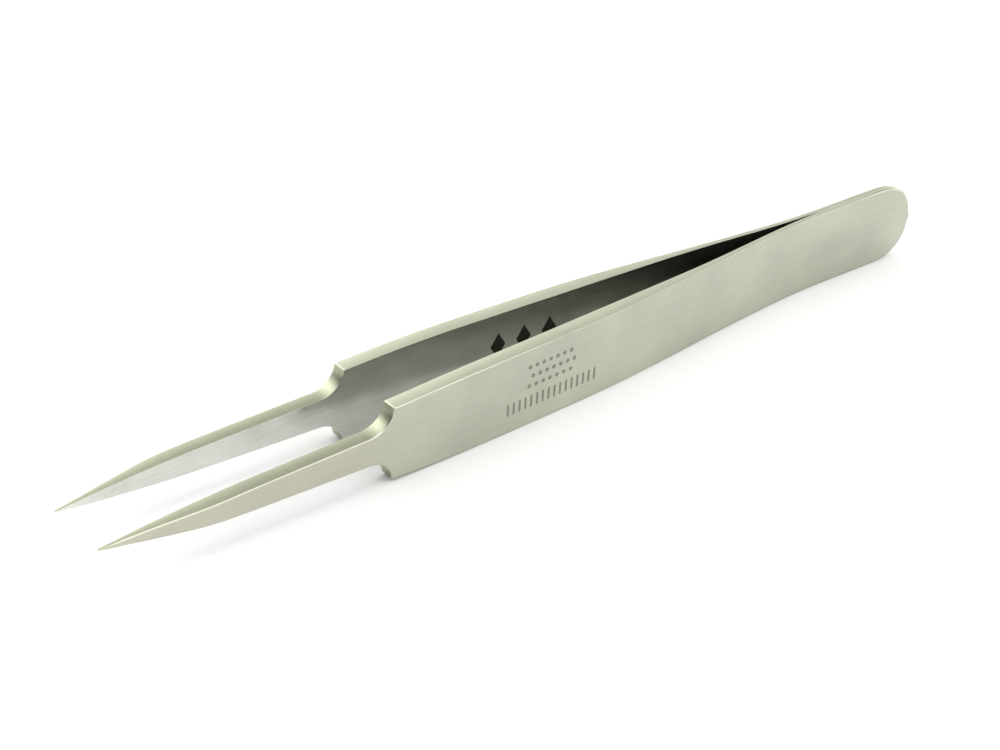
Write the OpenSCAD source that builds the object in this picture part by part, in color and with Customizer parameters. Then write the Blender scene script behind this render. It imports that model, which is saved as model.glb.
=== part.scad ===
// Fine-pointed precision tweezers: two one-piece steel leaves, laid face to face and spot
// welded at the round heel, standing on their long edges with the points apart.
// X runs from the points to the heel, Y across the gap, Z up the width of the leaves.
// Each leaf flexes in its thin stretch. The bend is a hinge there: the leaf is parted into a
// heel, which ends in a round knuckle on the hinge axis, and an arm with a matching socket.

/* [Overall] */
// Length from the points to the round end of the heel
length = 110; // [90:1:140]
// Width of the leaves, edge to edge
width = 9.2; // [7.5:0.1:12]

/* [Plan of a leaf] */
// Flat welded stretch at the heel, from the round end to where the gap opens
heel_len = 16.8; // [14:0.2:22]
// Steepest stretch, next to the heel
spring_len = 15.5; // [13:0.1:20]
// Slant of that stretch to the middle plane, in degrees
spring_angle = 5.65; // [4:0.05:7]
// Slant of the finger grip to the middle plane, in degrees
grip_angle = 2.8; // [1.5:0.05:3.5]
// Distance from the points to the bend that turns the blades nearly parallel
blade_bend = 41.3; // [34:0.1:50]
// Slant of the blade to the middle plane, in degrees
blade_angle = 0.55; // [0:0.05:1]
// Length over which each leaf turns at the blade bend
blade_bend_len = 20; // [8:0.5:24]
// Length over which each leaf turns at the other two bends
heel_bend_len = 10; // [3:0.5:12]

/* [Thickness of a leaf] */
// Thickness of the grip and the blade
grip_t = 1.75; // [1.3:0.05:2.2]
// Thickness of the thin stretch and of the heel
heel_t = 0.85; // [0.7:0.05:1.1]
// Length of thin leaf and heel together, from the round end
thin_len = 28.8; // [27.5:0.1:34]
// Length of the taper from the grip down to the thin leaf
thin_taper = 16; // [10:0.5:22]
// Thickness at the very point
point_t = 0.25; // [0.15:0.05:0.5]
// Length over which the point grows to the full blade thickness
point_taper = 12; // [8:0.5:18]

/* [Outline of a leaf] */
// Distance from the points to the shoulder corner
shoulder = 33.8; // [28:0.1:40]
// How far each edge draws in at the shoulder
shoulder_draw = 0.35; // [0:0.05:0.8]
// Length over which each edge draws in towards the shoulder
shoulder_fade = 9; // [6:0.5:14]
// Width of the neck, at the foot of the two notches
neck_w = 3.3; // [2.4:0.1:4]
// Radius of the notches
notch_r = 2.9; // [2.4:0.05:3.6]
// Width at the very point
point_w = 0.1; // [0.05:0.05:0.3]
// Distance from the points to where the blade starts to narrow to its point
point_len = 10; // [6:0.1:14]
// Width that the blade loses between the neck and the start of the point
blade_draw = 1; // [0.4:0.05:1.3]
// Length of the round end of the heel
end_len = 4.8; // [3.5:0.1:6]
// Squareness of the round end, where 2 is an ellipse
end_square = 2.3; // [2:0.1:3]

/* [Hinge] */
// Distance from the round end of the heel to the hinge axis
hinge_len = 26; // [24:0.5:27]
// Gap between knuckle and socket
hinge_gap = 0.03; // [0.02:0.01:0.08]
// How far the knuckle stands proud of the faces of the leaf
knuckle_proud = 0.05; // [0.03:0.01:0.08]
// How far the lips of the socket stop short of the hinge axis
lip_back = 0.35; // [0.3:0.05:0.45]

/* [Weld] */
// Diameter of a weld nugget
nugget_d = 1.8; // [1.2:0.1:2.4]
// Depth of a nugget in each leaf
nugget_depth = 0.25; // [0.15:0.05:0.4]
// Number of nuggets
nugget_count = 3; // [1:1:3]
// Spacing of the nuggets
nugget_pitch = 3.5; // [2.5:0.25:4]
// Distance from the round end of the heel to the first nugget
nugget_first = 3.5; // [3:0.25:4]

/* [Hidden] */

station_step = 2;
end_step = 5;                              // degrees between the corners of the round end
past = 1;                                  // how far cutting shapes run past what they cut

half_w = width / 2;
gap_x = length - heel_len;                 // where the gap opens
grip_x = gap_x - spring_len;               // where the spring stretch meets the grip
thin_x = length - thin_len;
notch_z = neck_w / 2 + notch_r;            // height of a notch's centre above mid-width
shoulder_z = half_w - shoulder_draw;
notch_x = shoulder - sqrt(pow(notch_r, 2) - pow(notch_z - shoulder_z, 2));
point_z = (neck_w - blade_draw) / 2;       // half width where the point would start, unrounded
hinge_x = length - hinge_len;
hinge_y = inner_y(hinge_x) + leaf_t(hinge_x) / 2;
knuckle_r = leaf_t(hinge_x) / 2 * cos(spring_angle) + knuckle_proud;

// Straight rise towards the points from x0, rounded over the length len at its foot
function rise(x, x0, len) =
    x >= x0 + len / 2 ? 0 :
    x <= x0 - len / 2 ? x0 - x :
    pow(x0 + len / 2 - x, 2) / (2 * len);

// Distance of the inner face from the middle plane
function inner_y(x) =
    tan(spring_angle) * rise(x, gap_x, heel_bend_len)
    - (tan(spring_angle) - tan(grip_angle)) * rise(x, grip_x, heel_bend_len)
    - (tan(grip_angle) - tan(blade_angle)) * rise(x, blade_bend, blade_bend_len);

// Thickness of a leaf: thin at the heel, full at the grip, ground away at the point
function leaf_t(x) =
    heel_t
    + (grip_t - heel_t) / thin_taper
        * (rise(x, thin_x, heel_bend_len) - rise(x, thin_x - thin_taper, heel_bend_len))
    - (grip_t - point_t) / point_taper * rise(x, point_taper, point_taper / 3);

// Half width of the blade, between the points and the notches
function blade_z(x) =
    let (fall = (neck_w / 2 - point_z) / (notch_x - point_len))
    neck_w / 2 - fall * rise(x, notch_x, station_step)
    - ((point_z - point_w / 2) / point_len - fall) * rise(x, point_len, 1.7 * point_len);

// Half width of the body, between the shoulder and the round heel
function body_z(x) =
    half_w - shoulder_draw / shoulder_fade * rise(x, shoulder + shoulder_fade, shoulder_fade);

// Evenly spaced stations from a to b, both included
function stations(a, b) =
    let (n = ceil((b - a) / station_step))
    [for (i = [0 : n]) a + (b - a) * i / n];

// Outline of the leaf seen from above, on the +Y side
module plan() {
    along = stations(0, length);
    polygon([
        for (x = along) [x, inner_y(x)],
        for (i = [len(along) - 1 : -1 : 0]) [along[i], inner_y(along[i]) + leaf_t(along[i])]
    ]);
}

// A strip about mid-width whose half width is given at each station
module strip(along, halves) {
    polygon([
        for (i = [0 : len(along) - 1]) [along[i], halves[i]],
        for (i = [len(along) - 1 : -1 : 0]) [along[i], -halves[i]]
    ]);
}

// Outline of the leaf seen from the side, about mid-width
module outline() {
    blade = stations(0, notch_x);
    body = stations(notch_x, length - end_len);
    strip(blade, [for (x = blade) blade_z(x)]);
    difference() {
        strip(body, [for (x = body) body_z(x)]);
        for (side = [-1, 1])
            translate([notch_x, side * notch_z]) circle(r = notch_r, $fn = 96);
    }
    polygon([
        for (a = [-90 : end_step : 90])
            [length - end_len * (1 - pow(cos(a), 2 / end_square)),
             half_w * sign(a) * pow(abs(sin(a)), 2 / end_square)]
    ]);
}

// One whole leaf on the +Y side, points at x = 0
module leaf() {
    reach = inner_y(0) + grip_t + past;
    intersection() {
        linear_extrude(width) plan();
        translate([0, reach, half_w]) rotate([90, 0, 0]) linear_extrude(reach + past) outline();
    }
}

// Everything on the heel side of the hinge axis, squared to the leaf there
module heel_side() {
    translate([hinge_x, hinge_y, -past]) rotate([0, 0, -spring_angle])
        translate([0, -width, 0]) cube([length, 2 * width, width + 2 * past]);
}

// A round bar on the hinge axis, reaching past both edges of the leaf by over
module hinge_bar(r, over = 0) {
    translate([hinge_x, hinge_y, -over]) cylinder(r = r, h = width + 2 * over, $fn = 64);
}

// The weld nuggets lie across the middle plane, along the heel at mid-width
module nuggets() {
    for (i = [0 : nugget_count - 1])
        translate([length - nugget_first - i * nugget_pitch, nugget_depth, half_w])
            rotate([90, 0, 0]) cylinder(d = nugget_d, h = 2 * nugget_depth, $fn = 48);
}

// The flexing part of a leaf, with its socket on the hinge axis
module arm() {
    difference() {
        leaf();
        translate([-lip_back, 0, 0]) heel_side();
        hinge_bar(knuckle_r + hinge_gap, past);
    }
}

// The welded part of a leaf, with its knuckle on the hinge axis
module heel() {
    difference() {
        union() {
            intersection() {
                leaf();
                heel_side();
            }
            hinge_bar(knuckle_r);
        }
        nuggets();
    }
}

// Puts a leaf that is drawn from its point into the part's frame
module place(side) {
    translate([-length / 2, 0, 0]) mirror([0, side < 0 ? 1 : 0, 0]) children();
}

module front_arm() {
    color("#b9baae") place(-1) arm();
}

module rear_arm() {
    color("#b9baae") place(1) arm();
}

module front_heel() {
    color("#a9aa9d") place(-1) heel();
}

module rear_heel() {
    color("#a9aa9d") place(1) heel();
}

module weld_nuggets() {
    color("#8c8a80") place(1) nuggets();
}

front_arm();
rear_arm();
front_heel();
rear_heel();
weld_nuggets();
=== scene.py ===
"""Fine-pointed precision tweezers of satin stainless steel, standing on their long edges.

Each leaf is made as its maker makes it: a flat blank with a rounded outline, then formed,
which tapers its thickness, crowns its outer face and bends it at three places.
All sizes are in millimetres until a mesh is made, and a leaf is measured from its point.
"""

import logging
import math
from dataclasses import dataclass
from enum import Enum
from typing import Any

import bmesh
import bpy
from mathutils import Euler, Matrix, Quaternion, Vector


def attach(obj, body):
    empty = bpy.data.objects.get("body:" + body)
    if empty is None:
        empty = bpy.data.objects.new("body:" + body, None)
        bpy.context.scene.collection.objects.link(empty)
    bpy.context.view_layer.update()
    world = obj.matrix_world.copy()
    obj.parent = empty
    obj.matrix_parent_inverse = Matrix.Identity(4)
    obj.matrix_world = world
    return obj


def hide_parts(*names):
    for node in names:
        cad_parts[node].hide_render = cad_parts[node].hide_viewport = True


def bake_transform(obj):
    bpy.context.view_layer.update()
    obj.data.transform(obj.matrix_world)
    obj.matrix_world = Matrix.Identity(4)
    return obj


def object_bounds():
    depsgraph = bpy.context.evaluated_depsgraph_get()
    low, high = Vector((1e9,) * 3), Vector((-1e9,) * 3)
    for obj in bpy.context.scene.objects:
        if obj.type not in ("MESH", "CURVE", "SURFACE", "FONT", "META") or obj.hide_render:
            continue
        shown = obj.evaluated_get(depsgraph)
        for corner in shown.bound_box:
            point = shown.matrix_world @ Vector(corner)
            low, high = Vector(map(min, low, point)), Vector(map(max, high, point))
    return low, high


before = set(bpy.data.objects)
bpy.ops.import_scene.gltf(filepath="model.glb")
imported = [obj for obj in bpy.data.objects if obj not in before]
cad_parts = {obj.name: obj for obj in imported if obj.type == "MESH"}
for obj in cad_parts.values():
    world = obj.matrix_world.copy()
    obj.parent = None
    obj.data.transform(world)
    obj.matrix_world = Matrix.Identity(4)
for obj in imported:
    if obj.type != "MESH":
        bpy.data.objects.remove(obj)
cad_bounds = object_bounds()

MM = 0.001
log = logging.getLogger("tweezers")


class Side(Enum):
    """Which leaf a piece belongs to, as the sign of its Y."""

    FRONT = -1
    REAR = 1

    @property
    def body(self) -> str:
        """The name of the flexing body of this leaf."""
        return f"{self.name.lower()}_arm"


class Face(Enum):
    """A face of a leaf, as its share of the thickness from the inner face outwards."""

    INNER = 0.0
    OUTER = 1.0


class Zone(Enum):
    """A part of a leaf's surface that is finished in its own way, as its material's place."""

    OUTER_FACE = 0
    INNER_FACE = 1
    LONG_EDGE = 2
    BLADE_EDGE = 3


class Grain(Enum):
    """Which way the grinding runs over a leaf, as the turn of the shader's long highlight."""

    ALONG = 0.25
    ACROSS = 0.0


def linear(hex_colour: str) -> tuple[float, float, float, float]:
    """Turns an sRGB colour into the linear one that a shader takes.

    Args:
        hex_colour: The colour, such as "#c0c0b8".

    Returns:
        Linear red, green, blue and an alpha of one.
    """
    parts = [int(hex_colour[i : i + 2], 16) / 255 for i in (1, 3, 5)]
    straight = [c / 12.92 if c <= 0.04045 else ((c + 0.055) / 1.055) ** 2.4 for c in parts]
    return (*straight, 1.0)


def add_node(tree: bpy.types.NodeTree, kind: str, inputs: dict[Any, Any] | None = None, **settings: Any) -> bpy.types.Node:
    """Adds a node to a tree, with its settings and its inputs.

    Args:
        tree: The shader or geometry tree.
        kind: The node's type, as Blender names it.
        inputs: For each input, by name or number, a value or the socket that feeds it.
        settings: The node's own properties.

    Returns:
        The new node.
    """
    node = tree.nodes.new(kind)
    for name, value in settings.items():
        setattr(node, name, value)
    for key, value in (inputs or {}).items():
        if isinstance(value, bpy.types.NodeSocket):
            tree.links.new(value, node.inputs[key])
        else:
            node.inputs[key].default_value = value
    return node


@dataclass(frozen=True)
class SteelFinish:
    """One ground or brushed surface of the stainless steel.

    Martensitic stainless steel is a slightly warm grey metal. Grinding leaves fine parallel
    scratches, which blur its reflections across the grain and give it a soft, silky grey.
    The real scratches are a few hundredths of a millimetre apart, too fine to show, so the
    grain is drawn coarser. Handling and hand polishing leave broad faint clouds. Towards the
    point the colour turns to blade_colour: on the inner face a lighter painted reflection,
    on the outer face a slightly warmer tint.
    """

    name: str
    colour: str
    roughness: float
    anisotropy: float = 0.5
    grain: Grain = Grain.ALONG
    grain_pitch: float = 0.16
    grain_length: float = 7.0
    grain_depth: float = 0.002
    grain_shade: float = 0.05
    cloud_size: float = 9.0
    cloud_shade: float = 0.05
    # The colour towards the point: on the inner face a lighter painted reflection, on the outer face a slightly warmer
    # tint.
    blade_colour: str = ""

    def material(self) -> bpy.types.Material:
        """Makes the material of this finish.

        Returns:
            The material, which reads Object coordinates, in metres.
        """
        material = bpy.data.materials.new(self.name)
        material.use_nodes = True
        tree = material.node_tree
        tree.nodes.clear()
        place = add_node(tree, "ShaderNodeTexCoord").outputs["Object"]
        fine, long = 1 / (self.grain_pitch * MM), 1 / (self.grain_length * MM)
        stretch = (long, fine, fine) if self.grain is Grain.ALONG else (fine, long, fine)
        drawn = add_node(tree, "ShaderNodeMapping", {"Vector": place, "Scale": stretch}).outputs[0]
        grain = add_node(tree, "ShaderNodeTexNoise", {"Vector": drawn, "Scale": 1.0, "Detail": 3.0}).outputs["Fac"]
        cloud = add_node(tree, "ShaderNodeTexNoise",
                         {"Vector": place, "Scale": 1 / (self.cloud_size * MM), "Detail": 3.0}).outputs["Fac"]
        streaks = add_node(tree, "ShaderNodeMapRange", {
            "Value": grain, "From Min": 0.3, "From Max": 0.7,
            "To Min": 1 - self.grain_shade, "To Max": 1 + self.grain_shade}).outputs[0]
        clouds = add_node(tree, "ShaderNodeMapRange", {
            "Value": cloud, "From Min": 0.3, "From Max": 0.7,
            "To Min": 1 - self.cloud_shade, "To Max": 1 + self.cloud_shade}).outputs[0]
        shade = add_node(tree, "ShaderNodeMath", {0: streaks, 1: clouds}, operation="MULTIPLY").outputs[0]
        # Towards the point the colour turns to blade_colour, with the clouds mixed in: on the inner face a lighter
        # painted reflection of the bright table between the blades, on the outer face a slightly warmer tint.
        from_middle = add_node(tree, "ShaderNodeSeparateXYZ", {0: place}).outputs["X"]
        blade = add_node(tree, "ShaderNodeMapRange", {
            "Value": from_middle, "From Min": -20 * MM, "From Max": -30 * MM,
            "To Min": -0.4, "To Max": 0.6}).outputs[0]
        clouds_and_blade_sheen = add_node(tree, "ShaderNodeMath", {0: cloud, 1: 0.8, 2: blade}, operation="MULTIPLY_ADD").outputs[0]
        base = add_node(tree, "ShaderNodeValToRGB", {0: clouds_and_blade_sheen})
        base.color_ramp.elements[0].color = linear(self.colour)
        base.color_ramp.elements[1].color = linear(self.blade_colour or self.colour)
        colour = add_node(tree, "ShaderNodeVectorMath", {0: base.outputs[0], "Scale": shade},
                          operation="SCALE").outputs[0]
        rough = add_node(tree, "ShaderNodeMapRange", {
            "Value": cloud, "From Min": 0.3, "From Max": 0.7,
            "To Min": self.roughness + 0.02, "To Max": self.roughness - 0.02}).outputs[0]
        bump = add_node(tree, "ShaderNodeBump",
                        {"Height": grain, "Strength": 1.0, "Distance": self.grain_depth * MM}).outputs[0]
        along = add_node(tree, "ShaderNodeVectorTransform", {"Vector": (1, 0, 0)},
                         vector_type="VECTOR", convert_from="OBJECT", convert_to="WORLD").outputs[0]
        shader = add_node(tree, "ShaderNodeBsdfPrincipled", {
            "Base Color": colour,
            "Metallic": 1.0,
            "Roughness": rough,
            "Anisotropic": self.anisotropy,
            "Anisotropic Rotation": self.grain.value,
            "Normal": bump,
            "Tangent": along,
        })
        add_node(tree, "ShaderNodeOutputMaterial", {"Surface": shader.outputs[0]})
        return material


FINISHES = {
    Zone.OUTER_FACE: SteelFinish("satin_ground_steel", "#b8b9a9", 0.33, grain_shade=0.04,
                                 cloud_shade=0.08, blade_colour="#b8b6a6"),
    # The inner face's colour is lighter and less tinted than the outer face's as a painted reflection, and its blade
    # colour is lighter still: a painted reflection of the bright table between the blades.
    Zone.INNER_FACE: SteelFinish("brushed_steel_painted_reflection", "#c4c5bd", 0.18, anisotropy=0.3, grain_shade=0.07,
                                 cloud_size=5.0, cloud_shade=0.09, blade_colour="#d8d9d2"),
    Zone.LONG_EDGE: SteelFinish("edge_ground_steel", "#c6c9b1", 0.32, grain_shade=0.06),
    # The blade edges' dark olive colour is painted shade: the darker reflection these cross-ground faces show is
    # painted into the steel's colour.
    Zone.BLADE_EDGE: SteelFinish("cross_ground_steel_painted_shade", "#a2a58e", 0.30, grain=Grain.ACROSS, grain_length=3.0),
}
WELD_FINISH = SteelFinish("fused_weld_steel", "#8e8a82", 0.5, anisotropy=0.0, grain_length=0.3, cloud_size=1.5)
LIGHT_ETCH = SteelFinish("light_etched_steel", "#8a897c", 0.5, anisotropy=0.0, grain_length=0.16, grain_shade=0.12)
DARK_ETCH = SteelFinish("dark_etched_steel", "#3a3830", 0.5, anisotropy=0.0, grain_length=0.16, grain_shade=0.12)


@dataclass
class LeafSizes:
    """The sizes of one leaf, in millimetres and degrees, measured from its point."""

    length: float
    width: float
    heel_len: float = 16.8
    spring_len: float = 15.5
    spring_angle: float = 5.65
    grip_angle: float = 2.8
    blade_bend: float = 41.3
    blade_angle: float = 0.55
    blade_bend_len: float = 20.0
    heel_bend_len: float = 10.0
    grip_t: float = 1.75
    heel_t: float = 0.85
    thin_len: float = 28.8
    thin_taper: float = 16.0
    point_t: float = 0.25
    point_taper: float = 12.0
    shoulder: float = 33.8
    shoulder_draw: float = 0.35
    shoulder_fade: float = 9.0
    neck_w: float = 3.3
    notch_r: float = 2.9
    point_w: float = 0.1
    point_len: float = 10.0
    blade_draw: float = 1.0
    end_len: float = 4.8
    end_squareness: float = 2.3
    crown: float = 0.3
    crown_from: float = 55.0
    crown_full: float = 80.0

    @property
    def half_w(self) -> float:
        """Half the width of the leaf."""
        return self.width / 2

    @property
    def notch_z(self) -> float:
        """Height of a notch's centre above mid-width."""
        return self.neck_w / 2 + self.notch_r

    @property
    def notch_x(self) -> float:
        """Distance of a notch's centre from the point."""
        rise = self.notch_z - (self.half_w - self.shoulder_draw)
        return self.shoulder - math.sqrt(self.notch_r**2 - rise**2)

    def rise(self, x: float, start: float, rounding: float) -> float:
        """A straight rise towards the point from start, rounded at its foot.

        Args:
            x: Distance from the point.
            start: Where the rise starts.
            rounding: Length over which it turns.

        Returns:
            The height of the rise at x.
        """
        turned = min(max((start + rounding / 2 - x) / rounding, 0.0), 1.0)
        return rounding * turned**2 / 2 + max(0.0, start - rounding / 2 - x)

    def blade_z(self, x: float) -> float:
        """Half width of the blade at x, between the point and the notches."""
        point_z = (self.neck_w - self.blade_draw) / 2
        fall = (self.neck_w / 2 - point_z) / (self.notch_x - self.point_len)
        tip_fall = (point_z - self.point_w / 2) / self.point_len - fall
        half = self.neck_w / 2 - fall * self.rise(x, self.notch_x, 2.0)
        return half - tip_fall * self.rise(x, self.point_len, 1.7 * self.point_len)

    def body_z(self, x: float) -> float:
        """Half width of the body at x, between the shoulder and the round heel."""
        draw = self.shoulder_draw / self.shoulder_fade
        return self.half_w - draw * self.rise(x, self.shoulder + self.shoulder_fade, self.shoulder_fade)

    def thickness(self, x: float) -> float:
        """Thickness of the leaf at x, at mid-width."""
        taper = (self.grip_t - self.heel_t) / self.thin_taper
        thin_x = self.length - self.thin_len
        grown = self.rise(x, thin_x, self.heel_bend_len) - self.rise(x, thin_x - self.thin_taper, self.heel_bend_len)
        ground = (self.grip_t - self.point_t) / self.point_taper * self.rise(x, self.point_taper, self.point_taper / 3)
        return self.heel_t + taper * grown - ground


def spaced(start: float, end: float, step: float) -> list[float]:
    """Evenly spaced values from start to end, both included, about a step apart."""
    count = max(1, math.ceil((end - start) / step))
    return [start + (end - start) * i / count for i in range(count + 1)]


def smooth(value: float, start: float, end: float) -> float:
    """A smooth step of value from 0 at start to 1 at end."""
    t = min(max((value - start) / (end - start), 0.0), 1.0)
    return t * t * (3 - 2 * t)


@dataclass
class Blank:
    """The flat blank of a leaf: its outline with softened edges, not yet formed.

    A vertex keeps its distance from its own face in Y, and an attribute says which face.
    """

    sizes: LeafSizes
    corner_r: float = 0.12
    edge_front: float = 0.14
    edge_grip: float = 0.05
    under_grip: float = 0.18
    edge_heel: float = 0.28
    inner_edge: float = 0.012
    edge_steps: int = 4
    columns: int = 18
    holding: float = 0.05

    def outline(self) -> list[tuple[float, float]]:
        """Upper half of the outline from the point to the end of the heel.

        Returns:
            Points as distance from the point and height above mid-width.
        """
        s = self.sizes
        nose = [(0.06 * (1 - math.cos(a)), s.blade_z(0) * math.sin(a)) for a in spaced(0, math.pi / 2, 0.4)]
        blade = [(x, s.blade_z(x)) for x in spaced(0.12, 3, 0.24) + spaced(3.5, s.notch_x, 0.7)]
        end_turn = math.acos((s.notch_z - s.half_w + s.shoulder_draw) / s.notch_r)
        turns = spaced(0, end_turn, 0.06)[1:]
        notch = [(s.notch_x + s.notch_r * math.sin(a), s.notch_z - s.notch_r * math.cos(a)) for a in turns]
        corner = Vector(notch.pop())
        before = corner - Vector((math.cos(end_turn), math.sin(end_turn))) * self.corner_r
        after = Vector((s.shoulder + self.corner_r, s.body_z(s.shoulder + self.corner_r)))
        notch = [p for p in notch if p[1] < before.y]
        soft = [before.lerp(corner, t).lerp(corner.lerp(after, t), t) for t in spaced(0, 1, 0.25)]
        body = [(x, s.body_z(x)) for x in spaced(s.shoulder + 0.4, s.length - s.end_len, 0.9)]
        power = 2 / s.end_squareness
        round_end = [(s.length - s.end_len + s.end_len * math.sin(a) ** power, s.half_w * math.cos(a) ** power)
                     for a in spaced(0, math.pi / 2, 0.05)[1:-1]] + [(s.length, 0.0)]
        return nose + blade + notch + [tuple(p) for p in soft] + body + round_end

    def edges(self, x: float, half: float) -> tuple[float, float, float]:
        """Radii of the inner long edges and of the upper and the lower outer long edge at x.

        Args:
            x: Distance from the point.
            half: Half width of the leaf there.

        Returns:
            The inner radius, the upper outer radius and the lower outer radius.
        """
        s = self.sizes
        grip = smooth(x, s.shoulder + 8, s.shoulder + 26)
        heel = smooth(x, s.length - 2 * s.end_len, s.length - s.end_len / 2)
        most = 0.4 * min(half, s.thickness(x))
        outer, under = (self.edge_front + (middle - self.edge_front) * grip + (self.edge_heel - middle) * heel
                        for middle in (self.edge_grip, self.under_grip))
        return min(self.inner_edge, most), min(outer, most), min(under, most)

    def section(self, x: float, half: float, normal: Vector) -> list[tuple[float, float, float, float]]:
        """One loop of vertices around the leaf, from the bottom of its inner face.

        Args:
            x: Distance from the point.
            half: Half width of the leaf there.
            normal: Outward normal of the upper outline there.

        Returns:
            Each vertex as X, offset from its face, Z and its share of the thickness.
        """
        inner, outer, under = self.edges(x, half)
        halves = []
        for outer_radius in (outer, under):
            long_edge: list[tuple[float, float, float, float]] = []
            for radius, share in ((inner, 0.0), (outer_radius, 1.0)):
                turns = spaced(0, math.pi / 2, math.pi / 2 / self.edge_steps)
                arc = [(radius * (1 - math.sin(a)), radius * (1 - math.cos(a))) for a in turns]
                if share:
                    arc = [(inset, -depth) for inset, depth in reversed(arc)]
                long_edge += [(x - normal.x * inset, depth, half - normal.y * inset, share) for inset, depth in arc]
            halves.append(long_edge)
        upper = halves[0]
        lower = [(px, depth, -pz, share) for px, depth, pz, share in reversed(halves[1])]
        return self.across(lower[-1], upper[0]) + upper + self.across(upper[-1], lower[0]) + lower

    def across(self, start: tuple[float, float, float, float], end: tuple[float, float, float, float]
               ) -> list[tuple[float, float, float, float]]:
        """Vertices over a face between two edge vertices, which are left out."""
        reach = abs(end[2] - start[2])
        hold = min(self.holding / reach, 0.3 / self.columns) if reach else 0.3 / self.columns
        shares = [hold] + [i / self.columns for i in range(1, self.columns)] + [1 - hold]
        return [(start[0], start[1], start[2] + (end[2] - start[2]) * t, start[3]) for t in shares]

    def zone(self, place: int, x: float) -> Zone:
        """Says which zone a face of the mesh is in.

        Args:
            place: The number of the face's first vertex in its loop.
            x: Distance from the point.

        Returns:
            The zone.
        """
        upper = self.columns + 1 + self.edge_steps
        lower = upper + 2 * self.edge_steps + self.columns + 3
        if place in (upper, lower):
            return Zone.BLADE_EDGE if x <= self.sizes.shoulder else Zone.LONG_EDGE
        return Zone.OUTER_FACE if upper < place < lower else Zone.INNER_FACE

    def mesh(self, name: str) -> bpy.types.Mesh:
        """Makes the blank's mesh, in metres, with the attribute face_share."""
        outline = self.outline()
        loops = []
        for i, (x, half) in enumerate(outline):
            before, after = Vector(outline[max(i - 1, 0)]), Vector(outline[min(i + 1, len(outline) - 1)])
            along = (after - before).normalized()
            normal = Vector((-along.y, along.x))
            if i == len(outline) - 1:
                normal = Vector((1.0, 0.0))
            if i == 0:
                normal = Vector((-1.0, 0.0))
            loops.append(self.section(x, half, normal))
        size = len(loops[0])
        faces, zones = [], []
        for i in range(len(loops) - 1):
            for j in range(size):
                k = (j + 1) % size
                faces.append((i * size + j, i * size + k, (i + 1) * size + k, (i + 1) * size + j))
                zones.append(self.zone(j, outline[i + 1][0]).value)
        vertices = [(x * MM, y * MM, z * MM) for loop in loops for x, y, z, share in loop]
        mesh = bpy.data.meshes.new(name)
        mesh.from_pydata(vertices, [], faces)
        mesh.polygons.foreach_set("material_index", zones)
        shares = mesh.attributes.new("face_share", "FLOAT", "POINT")
        shares.data.foreach_set("value", [share for loop in loops for x, y, z, share in loop])
        return mesh


def rounded_rise_group() -> bpy.types.NodeTree:
    """Makes the node group of the rule that every bend and taper follows.

    Returns:
        A group with inputs Distance, Start and Rounding and the output Rise.
    """
    tree = bpy.data.node_groups.new("rounded_rise", "GeometryNodeTree")
    for name in ("Distance", "Start", "Rounding"):
        tree.interface.new_socket(name, in_out="INPUT", socket_type="NodeSocketFloat")
    tree.interface.new_socket("Rise", in_out="OUTPUT", socket_type="NodeSocketFloat")
    given = add_node(tree, "NodeGroupInput").outputs
    half = add_node(tree, "ShaderNodeMath", {0: given["Rounding"], 1: 0.5}, operation="MULTIPLY").outputs[0]
    before = add_node(tree, "ShaderNodeMath", {0: given["Start"], 1: given["Distance"]}, operation="SUBTRACT").outputs[0]
    back = add_node(tree, "ShaderNodeMath", {0: half, 1: -1.0}, operation="MULTIPLY").outputs[0]
    turned = add_node(tree, "ShaderNodeMapRange", {"Value": before, "From Min": back, "From Max": half}).outputs[0]
    square = add_node(tree, "ShaderNodeMath", {0: turned, 1: 2.0}, operation="POWER").outputs[0]
    straight = add_node(tree, "ShaderNodeMath", {0: before, 1: half}, operation="SUBTRACT").outputs[0]
    straight = add_node(tree, "ShaderNodeMath", {0: straight, 1: 0.0}, operation="MAXIMUM").outputs[0]
    rise = add_node(tree, "ShaderNodeMath", {0: square, 1: half, 2: straight}, operation="MULTIPLY_ADD").outputs[0]
    add_node(tree, "NodeGroupOutput", {"Rise": rise})
    return tree


@dataclass(frozen=True)
class Slope:
    """One bend or taper: where it starts, how long it turns, and how steep it makes the leaf."""

    name: str
    start: float
    rounding: float
    steepness: float


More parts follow.
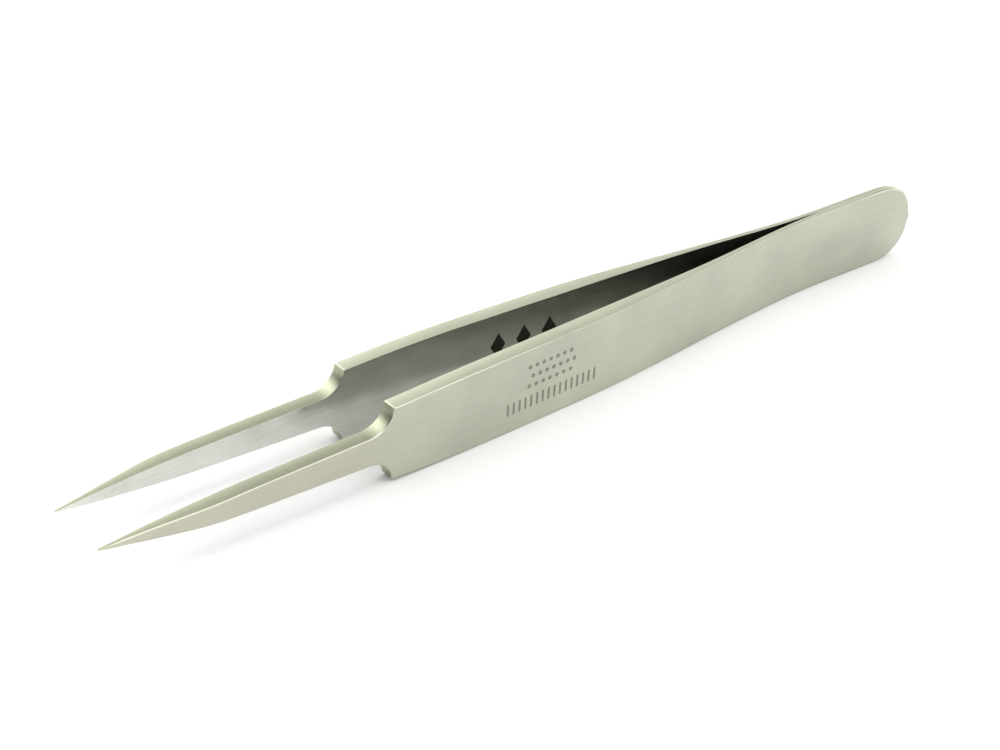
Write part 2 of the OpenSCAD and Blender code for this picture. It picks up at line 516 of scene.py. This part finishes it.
class Forming:
    """Forms a flat piece into the shape of a leaf: taper, crown and bends, by Geometry Nodes."""

    def __init__(self, sizes: LeafSizes) -> None:
        """Works out the bends and tapers of the leaf.

        Args:
            sizes: The leaf's sizes.
        """
        s = sizes
        gap_x = s.length - s.heel_len
        thin_x = s.length - s.thin_len
        spring, grip, blade = (math.tan(math.radians(a)) for a in (s.spring_angle, s.grip_angle, s.blade_angle))
        taper = (s.grip_t - s.heel_t) / s.thin_taper
        grind = (s.grip_t - s.point_t) / s.point_taper
        self.sizes = sizes
        self.bends = [
            Slope("Heel bend", gap_x, s.heel_bend_len, spring),
            Slope("Spring bend", gap_x - s.spring_len, s.heel_bend_len, grip - spring),
            Slope("Blade bend", s.blade_bend, s.blade_bend_len, blade - grip),
        ]
        self.tapers = [
            Slope("Thin end of taper", thin_x, s.heel_bend_len, taper),
            Slope("Thick end of taper", thin_x - s.thin_taper, s.heel_bend_len, -taper),
            Slope("Point taper", s.point_taper, s.point_taper / 3, -grind),
        ]
        self.tree = self.build()

    def values(self, side: Side) -> dict[str, float]:
        """The value of each of the tree's inputs, for one side, in metres."""
        s = self.sizes
        given = {"Side": float(side.value), "Length": s.length * MM, "Half width": s.half_w * MM,
                 "Round end": s.end_len * MM, "Heel thickness": s.heel_t * MM, "Crown": s.crown * MM,
                 "Crown from": s.crown_from * MM, "Crown full": s.crown_full * MM}
        for slope in self.bends + self.tapers:
            given[f"{slope.name} start"] = slope.start * MM
            given[f"{slope.name} rounding"] = slope.rounding * MM
            given[f"{slope.name} steepness"] = slope.steepness
        return given

    def build(self) -> bpy.types.NodeTree:
        """Builds the tree, whose input mesh has its place from the point in X and the attribute face_share."""
        tree = bpy.data.node_groups.new("form_leaf", "GeometryNodeTree")
        tree.interface.new_socket("Geometry", in_out="INPUT", socket_type="NodeSocketGeometry")
        tree.interface.new_socket("Geometry", in_out="OUTPUT", socket_type="NodeSocketGeometry")
        for name in self.values(Side.REAR):
            tree.interface.new_socket(name, in_out="INPUT", socket_type="NodeSocketFloat")
        given = add_node(tree, "NodeGroupInput").outputs
        rule = rounded_rise_group()
        here = add_node(tree, "GeometryNodeInputPosition").outputs[0]
        place = add_node(tree, "ShaderNodeSeparateXYZ", {0: here}).outputs

        def total(slopes: list[Slope], base: bpy.types.NodeSocket) -> bpy.types.NodeSocket:
            """Adds each slope's rise at this place to base."""
            for slope in slopes:
                rise = add_node(tree, "GeometryNodeGroup", node_tree=rule)
                tree.links.new(place["X"], rise.inputs["Distance"])
                tree.links.new(given[f"{slope.name} start"], rise.inputs["Start"])
                tree.links.new(given[f"{slope.name} rounding"], rise.inputs["Rounding"])
                base = add_node(tree, "ShaderNodeMath", {0: rise.outputs[0], 1: given[f"{slope.name} steepness"],
                                                         2: base}, operation="MULTIPLY_ADD").outputs[0]
            return base

        thickness = total(self.tapers, given["Heel thickness"])
        high = add_node(tree, "ShaderNodeMath", {0: place["Z"], 1: given["Half width"]}, operation="DIVIDE").outputs[0]
        high = add_node(tree, "ShaderNodeMath", {0: high, 1: high}, operation="MULTIPLY").outputs[0]
        to_end = add_node(tree, "ShaderNodeMath", {0: given["Length"], 1: place["X"]}, operation="SUBTRACT").outputs[0]
        last = add_node(tree, "ShaderNodeMapRange",
                        {"Value": to_end, "From Min": given["Round end"], "From Max": 0.0}).outputs[0]
        high = add_node(tree, "ShaderNodeMath", {0: last, 1: last, 2: high}, operation="MULTIPLY_ADD").outputs[0]
        crowned = add_node(tree, "ShaderNodeMapRange",
                           {"Value": place["X"], "From Min": given["Crown from"], "From Max": given["Crown full"],
                            "To Max": given["Crown"]}, interpolation_type="SMOOTHSTEP").outputs[0]
        sag = add_node(tree, "ShaderNodeMath", {0: crowned, 1: high}, operation="MULTIPLY").outputs[0]
        outer = add_node(tree, "ShaderNodeMath", {0: thickness, 1: sag}, operation="SUBTRACT").outputs[0]
        share = add_node(tree, "GeometryNodeInputNamedAttribute", {"Name": "face_share"}, data_type="FLOAT").outputs[0]
        depth = add_node(tree, "ShaderNodeMath", {0: share, 1: outer, 2: place["Y"]}, operation="MULTIPLY_ADD").outputs[0]
        out = total(self.bends, depth)
        across = add_node(tree, "ShaderNodeMath", {0: out, 1: given["Side"]}, operation="MULTIPLY").outputs[0]
        middle = add_node(tree, "ShaderNodeMath", {0: given["Length"], 1: -0.5, 2: place["X"]},
                          operation="MULTIPLY_ADD").outputs[0]
        height = add_node(tree, "ShaderNodeMath", {0: place["Z"], 1: given["Half width"]}).outputs[0]
        formed = add_node(tree, "ShaderNodeCombineXYZ", {"X": middle, "Y": across, "Z": height}).outputs[0]
        moved = add_node(tree, "GeometryNodeSetPosition", {"Geometry": given["Geometry"], "Position": formed})
        add_node(tree, "NodeGroupOutput", {0: moved.outputs[0]})
        return tree

    def form(self, piece: bpy.types.Object, side: Side) -> None:
        """Adds the forming to a flat piece."""
        add_tree(piece, self.tree, self.values(side))


def add_tree(piece: bpy.types.Object, tree: bpy.types.NodeTree, values: dict[str, Any]) -> None:
    """Adds a Geometry Nodes modifier and sets its inputs.

    Args:
        piece: The object that gets the modifier.
        tree: The node tree.
        values: The value of each named input.
    """
    modifier = piece.modifiers.new(tree.name, "NODES")
    modifier.node_group = tree
    for item in tree.interface.items_tree:
        if item.in_out == "INPUT" and item.name in values:
            modifier[item.identifier] = values[item.name]


def link_piece(name: str, mesh: bpy.types.Mesh) -> bpy.types.Object:
    """Makes an object of a mesh and links it to the scene."""
    piece = bpy.data.objects.new(name, mesh)
    bpy.context.scene.collection.objects.link(piece)
    return piece


def bake(piece: bpy.types.Object) -> None:
    """Turns what a piece's modifiers make into its plain mesh, and removes them."""
    bpy.context.view_layer.update()
    graph = bpy.context.evaluated_depsgraph_get()
    mesh = bpy.data.meshes.new_from_object(piece.evaluated_get(graph), depsgraph=graph)
    piece.modifiers.clear()
    piece.data = mesh


def close_and_face_out(piece: bpy.types.Object) -> None:
    """Merges doubled vertices, closes what is open and points every face outwards."""
    shape = bmesh.new()
    shape.from_mesh(piece.data)
    bmesh.ops.remove_doubles(shape, verts=shape.verts, dist=0.002 * MM)
    bmesh.ops.dissolve_degenerate(shape, dist=0.0005 * MM, edges=shape.edges)
    bmesh.ops.holes_fill(shape, edges=[e for e in shape.edges if e.is_boundary], sides=0)
    bmesh.ops.recalc_face_normals(shape, faces=shape.faces)
    shape.to_mesh(piece.data)
    shape.free()
    piece.data.shade_smooth()


@dataclass
class Leaf:
    """One whole leaf, built in its rest shape; the real leaf flexes in its thin stretch between the heel and the grip.
    """

    side: Side
    sizes: LeafSizes
    forming: Forming
    steels: dict[Zone, bpy.types.Material]
    flex_from: float = 92.0
    flex_to: float = 76.0

    def build(self) -> bpy.types.Object:
        """Builds the leaf and hides the imported parts that it replaces.

        Returns:
            The finished piece.
        """
        name = f"{self.side.name.lower()}_leaf"
        leaf = link_piece(name, Blank(self.sizes).mesh(name))
        self.forming.form(leaf, self.side)
        bake(leaf)
        close_and_face_out(leaf)
        for zone in Zone:
            leaf.data.materials.append(self.steels[zone])
        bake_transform(leaf)
        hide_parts(self.side.body, f"{self.side.name.lower()}_heel")
        return leaf


@dataclass
class EtchedMarks:
    """Rows of one plain shape, etched into a face of a leaf. They say nothing and stand for no maker."""

    name: str
    side: Side
    face: Face
    corners: int
    width: float
    height: float
    start: tuple[float, float]
    pitch: tuple[float, float]
    count: tuple[int, int]
    stagger: float = 0.0
    turn: float = 0.0
    proud: float = 0.012
    depth: float = 0.1

    def build(self, sizes: LeafSizes, forming: Forming, etch: bpy.types.Material) -> bpy.types.Object:
        """Builds the marks and forms them with their leaf.

        Args:
            sizes: The leaf's sizes.
            forming: The forming that the leaf has had.
            etch: The etched finish.

        Returns:
            The finished piece, of separate closed marks.
        """
        tree = bpy.data.node_groups.new("rows_of_marks", "GeometryNodeTree")
        tree.interface.new_socket("Geometry", in_out="OUTPUT", socket_type="NodeSocketGeometry")
        for name in ("Start X", "Start Z", "Pitch X", "Pitch Z", "Stagger", "Width", "Height", "Thickness",
                     "Depth", "Face share", "Turn"):
            tree.interface.new_socket(name, in_out="INPUT", socket_type="NodeSocketFloat")
        for name in ("Columns", "Rows", "Corners"):
            tree.interface.new_socket(name, in_out="INPUT", socket_type="NodeSocketInt")
        tree.interface.new_socket("Etch", in_out="INPUT", socket_type="NodeSocketMaterial")
        given = add_node(tree, "NodeGroupInput").outputs
        total = add_node(tree, "ShaderNodeMath", {0: given["Columns"], 1: given["Rows"]}, operation="MULTIPLY")
        points = add_node(tree, "GeometryNodeMeshLine", {"Count": total.outputs[0]})
        index = add_node(tree, "GeometryNodeInputIndex").outputs[0]
        column = add_node(tree, "ShaderNodeMath", {0: index, 1: given["Columns"]}, operation="MODULO").outputs[0]
        row = add_node(tree, "ShaderNodeMath", {0: index, 1: given["Columns"]}, operation="DIVIDE").outputs[0]
        row = add_node(tree, "ShaderNodeMath", {0: row}, operation="FLOOR").outputs[0]
        odd = add_node(tree, "ShaderNodeMath", {0: row, 1: 2.0}, operation="MODULO").outputs[0]
        along = add_node(tree, "ShaderNodeMath", {0: column, 1: given["Pitch X"], 2: given["Start X"]},
                         operation="MULTIPLY_ADD").outputs[0]
        along = add_node(tree, "ShaderNodeMath", {0: odd, 1: given["Stagger"], 2: along},
                         operation="MULTIPLY_ADD").outputs[0]
        up = add_node(tree, "ShaderNodeMath", {0: row, 1: given["Pitch Z"], 2: given["Start Z"]},
                      operation="MULTIPLY_ADD").outputs[0]
        spot = add_node(tree, "ShaderNodeCombineXYZ", {"X": along, "Y": given["Depth"], "Z": up}).outputs[0]
        laid = add_node(tree, "GeometryNodeSetPosition", {"Geometry": points.outputs[0], "Position": spot})
        disc = add_node(tree, "GeometryNodeMeshCylinder",
                        {"Vertices": given["Corners"], "Side Segments": 1, "Fill Segments": 2,
                         "Radius": 0.5, "Depth": 1.0})
        turned = add_node(tree, "ShaderNodeCombineXYZ", {"Z": given["Turn"]}).outputs[0]
        turned = add_node(tree, "GeometryNodeTransform", {"Geometry": disc.outputs["Mesh"], "Rotation": turned})
        upright = add_node(tree, "GeometryNodeTransform",
                           {"Geometry": turned.outputs[0], "Rotation": Euler((math.pi / 2, 0, 0))})
        size = add_node(tree, "ShaderNodeCombineXYZ",
                        {"X": given["Width"], "Y": given["Thickness"], "Z": given["Height"]}).outputs[0]
        marks = add_node(tree, "GeometryNodeInstanceOnPoints",
                         {"Points": laid.outputs[0], "Instance": upright.outputs[0], "Scale": size})
        real = add_node(tree, "GeometryNodeRealizeInstances", {0: marks.outputs[0]})
        shared = add_node(tree, "GeometryNodeStoreNamedAttribute",
                          {"Geometry": real.outputs[0], "Name": "face_share", "Value": given["Face share"]},
                          data_type="FLOAT", domain="POINT")
        dressed = add_node(tree, "GeometryNodeSetMaterial", {"Geometry": shared.outputs[0], "Material": given["Etch"]})
        add_node(tree, "NodeGroupOutput", {0: dressed.outputs[0]})
        outwards = 1 if self.face is Face.OUTER else -1
        marks = link_piece(self.name, bpy.data.meshes.new(self.name))
        add_tree(marks, tree, {
            "Start X": self.start[0] * MM, "Start Z": self.start[1] * MM,
            "Pitch X": self.pitch[0] * MM, "Pitch Z": self.pitch[1] * MM,
            "Stagger": self.stagger * MM, "Width": self.width * MM, "Height": self.height * MM,
            "Thickness": (self.depth + self.proud) * MM, "Depth": outwards * (self.proud - self.depth) / 2 * MM,
            "Face share": self.face.value, "Columns": self.count[0], "Rows": self.count[1],
            "Corners": self.corners, "Turn": math.radians(self.turn), "Etch": etch})
        forming.form(marks, self.side)
        bake(marks)
        close_and_face_out(marks)
        marks.data.shade_flat()
        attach(marks, self.side.body)
        return marks


FACE_DOTS = EtchedMarks("front_etched_dots", Side.FRONT, Face.OUTER, 16, 0.5, 0.5,
                        (51.6, 0.15), (0.95, 1.15), (7, 3), stagger=0.475)
FACE_TICKS = EtchedMarks("front_etched_ticks", Side.FRONT, Face.OUTER, 4, 0.4, 2.0,
                         (48.8, -1.75), (0.8, 0.0), (16, 1), turn=45)
INNER_LOZENGES = EtchedMarks("rear_etched_lozenges", Side.REAR, Face.INNER, 4, 1.9, 3.0,
                             (53.2, 0.75), (3.3, 0.0), (3, 1))


@dataclass
class WeldNuggets:
    """The lens-shaped spots where the two leaves are fused together, hidden in the heel."""

    sizes: LeafSizes
    steel: bpy.types.Material
    count: int = 3
    pitch: float = 3.5
    first: float = 3.5
    diameter: float = 1.8
    depth: float = 0.25

    def build(self) -> bpy.types.Object:
        """Builds the row of nuggets.

        Returns:
            The finished piece, of separate closed lenses.
        """
        tree = bpy.data.node_groups.new("row_of_nuggets", "GeometryNodeTree")
        tree.interface.new_socket("Geometry", in_out="OUTPUT", socket_type="NodeSocketGeometry")
        for name in ("First", "Pitch", "Height", "Diameter", "Depth"):
            tree.interface.new_socket(name, in_out="INPUT", socket_type="NodeSocketFloat")
        tree.interface.new_socket("Count", in_out="INPUT", socket_type="NodeSocketInt")
        tree.interface.new_socket("Steel", in_out="INPUT", socket_type="NodeSocketMaterial")
        given = add_node(tree, "NodeGroupInput").outputs
        start = add_node(tree, "ShaderNodeCombineXYZ", {"X": given["First"], "Z": given["Height"]}).outputs[0]
        back = add_node(tree, "ShaderNodeMath", {0: given["Pitch"], 1: -1.0}, operation="MULTIPLY").outputs[0]
        step = add_node(tree, "ShaderNodeCombineXYZ", {"X": back}).outputs[0]
        row = add_node(tree, "GeometryNodeMeshLine", {"Count": given["Count"], "Start Location": start, "Offset": step})
        ball = add_node(tree, "GeometryNodeMeshUVSphere", {"Segments": 32, "Rings": 16, "Radius": 0.5})
        deep = add_node(tree, "ShaderNodeMath", {0: given["Depth"], 1: 2.0}, operation="MULTIPLY").outputs[0]
        lens = add_node(tree, "ShaderNodeCombineXYZ",
                        {"X": given["Diameter"], "Y": deep, "Z": given["Diameter"]}).outputs[0]
        spots = add_node(tree, "GeometryNodeInstanceOnPoints",
                         {"Points": row.outputs[0], "Instance": ball.outputs[0], "Scale": lens})
        real = add_node(tree, "GeometryNodeRealizeInstances", {0: spots.outputs[0]})
        dressed = add_node(tree, "GeometryNodeSetMaterial", {"Geometry": real.outputs[0], "Material": given["Steel"]})
        add_node(tree, "NodeGroupOutput", {0: dressed.outputs[0]})
        nuggets = link_piece("weld_beads", bpy.data.meshes.new("weld_beads"))
        add_tree(nuggets, tree, {
            "First": (self.sizes.length / 2 - self.first) * MM, "Pitch": self.pitch * MM,
            "Height": self.sizes.half_w * MM, "Diameter": self.diameter * MM, "Depth": self.depth * MM,
            "Count": self.count, "Steel": self.steel})
        bake(nuggets)
        nuggets.data.shade_smooth()
        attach(nuggets, "heel")
        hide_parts("weld_nuggets")
        return nuggets


@dataclass(frozen=True)
class Panel:
    """One soft lit panel of the light tent.

    Its azimuth runs from the rear, +Y, towards the heel, +X. Its tightness says how soon it
    fades: at 9 it is half as bright 23 degrees from its middle.
    """

    azimuth: float
    elevation: float
    brightness: float
    tightness: float = 9.0

    def direction(self) -> Vector:
        """The direction from the tweezers towards the panel."""
        turn, lift = math.radians(self.azimuth), math.radians(self.elevation)
        return Vector((math.sin(turn) * math.cos(lift), math.cos(turn) * math.cos(lift), math.sin(lift)))


@dataclass
class Studio:
    """The pale table, the light tent and the camera."""

    azimuth: float = -40.0
    elevation: float = 32.38
    roll: float = 3.17
    distance: float = 335.3
    aim: tuple[float, float, float] = (-3.58, 0.0, 3.78)
    lens: float = 116.4
    table: float = 4000.0
    panels: tuple[Panel, ...] = (
        Panel(0, 90, 2.4),
        Panel(0, 90, 2.5, tightness=40),
        Panel(5, 8, 4.0),
        Panel(72, 8, 1.6),
        Panel(110, 8, 1.8),
        Panel(180, 8, 2.2),
        Panel(170, 32, 0.6),
        Panel(345, 32, 0.8),
        Panel(0, 60, 0.5),
        Panel(180, 60, 0.5),
        Panel(135, 40, 3.5, tightness=30),
        Panel(330, 38, 2.0, tightness=20),
    )

    def camera(self) -> None:
        """Sets the scene's camera."""
        data = bpy.data.cameras.new("camera")
        data.lens = self.lens
        data.sensor_width = 36.0
        data.clip_start = 0.01
        camera = bpy.data.objects.new("camera", data)
        bpy.context.scene.collection.objects.link(camera)
        turn, lift = math.radians(self.azimuth), math.radians(self.elevation)
        towards = Vector((-math.sin(turn) * math.cos(lift), math.cos(turn) * math.cos(lift), -math.sin(lift)))
        camera.rotation_mode = "QUATERNION"
        level = towards.to_track_quat("-Z", "Y")
        camera.rotation_quaternion = level @ Quaternion((0, 0, 1), math.radians(self.roll))
        camera.location = (Vector(self.aim) - towards * self.distance) * MM
        bpy.context.scene.camera = camera

    def tent(self) -> None:
        """Lights the table from all round, as inside a white tent with a few lit panels."""
        world = bpy.data.worlds.new("tent")
        world.use_nodes = True
        bpy.context.scene.world = world
        tree = world.node_tree
        towards = add_node(tree, "ShaderNodeTexCoord").outputs["Generated"]
        total: float | bpy.types.NodeSocket = 0.0
        for panel in self.panels:
            near = add_node(tree, "ShaderNodeVectorMath", {0: towards, 1: panel.direction()},
                            operation="DOT_PRODUCT").outputs["Value"]
            fall = add_node(tree, "ShaderNodeMath", {0: near, 1: panel.tightness, 2: -panel.tightness},
                            operation="MULTIPLY_ADD").outputs[0]
            soft = add_node(tree, "ShaderNodeMath", {0: fall}, operation="EXPONENT").outputs[0]
            total = add_node(tree, "ShaderNodeMath", {0: soft, 1: panel.brightness, 2: total},
                             operation="MULTIPLY_ADD").outputs[0]
        tree.links.new(total, tree.nodes["Background"].inputs["Strength"])
        tree.nodes["Background"].inputs["Color"].default_value = (1, 1, 1, 1)

    def floor(self) -> None:
        """Lays the plain pale table that the tweezers stand on."""
        half = self.table / 2 * MM
        mesh = bpy.data.meshes.new("table")
        mesh.from_pydata([(-half, -half, 0), (half, -half, 0), (half, half, 0), (-half, half, 0)], [], [(0, 1, 2, 3)])
        card = bpy.data.materials.new("matt_white_card")
        card.use_nodes = True
        surface = card.node_tree.nodes["Principled BSDF"].inputs
        surface["Base Color"].default_value = linear("#e7e7e7")
        surface["Roughness"].default_value = 0.9
        surface["Specular IOR Level"].default_value = 0.2
        mesh.materials.append(card)
        link_piece("table", mesh)

    def build(self) -> None:
        """Builds the whole studio."""
        bpy.context.scene.view_settings.view_transform = "Standard"
        self.floor()
        self.tent()
        self.camera()


def main() -> None:
    """Builds the tweezers and the studio."""
    logging.basicConfig(level=logging.INFO, format="%(name)s: %(message)s")
    low, high = (Vector(corner) / MM for corner in cad_bounds)
    sizes = LeafSizes(length=high.x - low.x, width=high.z - low.z)
    Studio().build()
    forming = Forming(sizes)
    steels = {zone: finish.material() for zone, finish in FINISHES.items()}
    pieces = [Leaf(side, sizes, forming, steels).build() for side in Side]
    light_etch, dark_etch = LIGHT_ETCH.material(), DARK_ETCH.material()
    pieces.append(FACE_DOTS.build(sizes, forming, light_etch))
    pieces.append(FACE_TICKS.build(sizes, forming, light_etch))
    pieces.append(INNER_LOZENGES.build(sizes, forming, dark_etch))
    pieces.append(WeldNuggets(sizes, WELD_FINISH.material()).build())
    for piece in pieces:
        log.info("%s: %d faces", piece.name, len(piece.data.polygons))


if __name__ == "__main__":
    main()
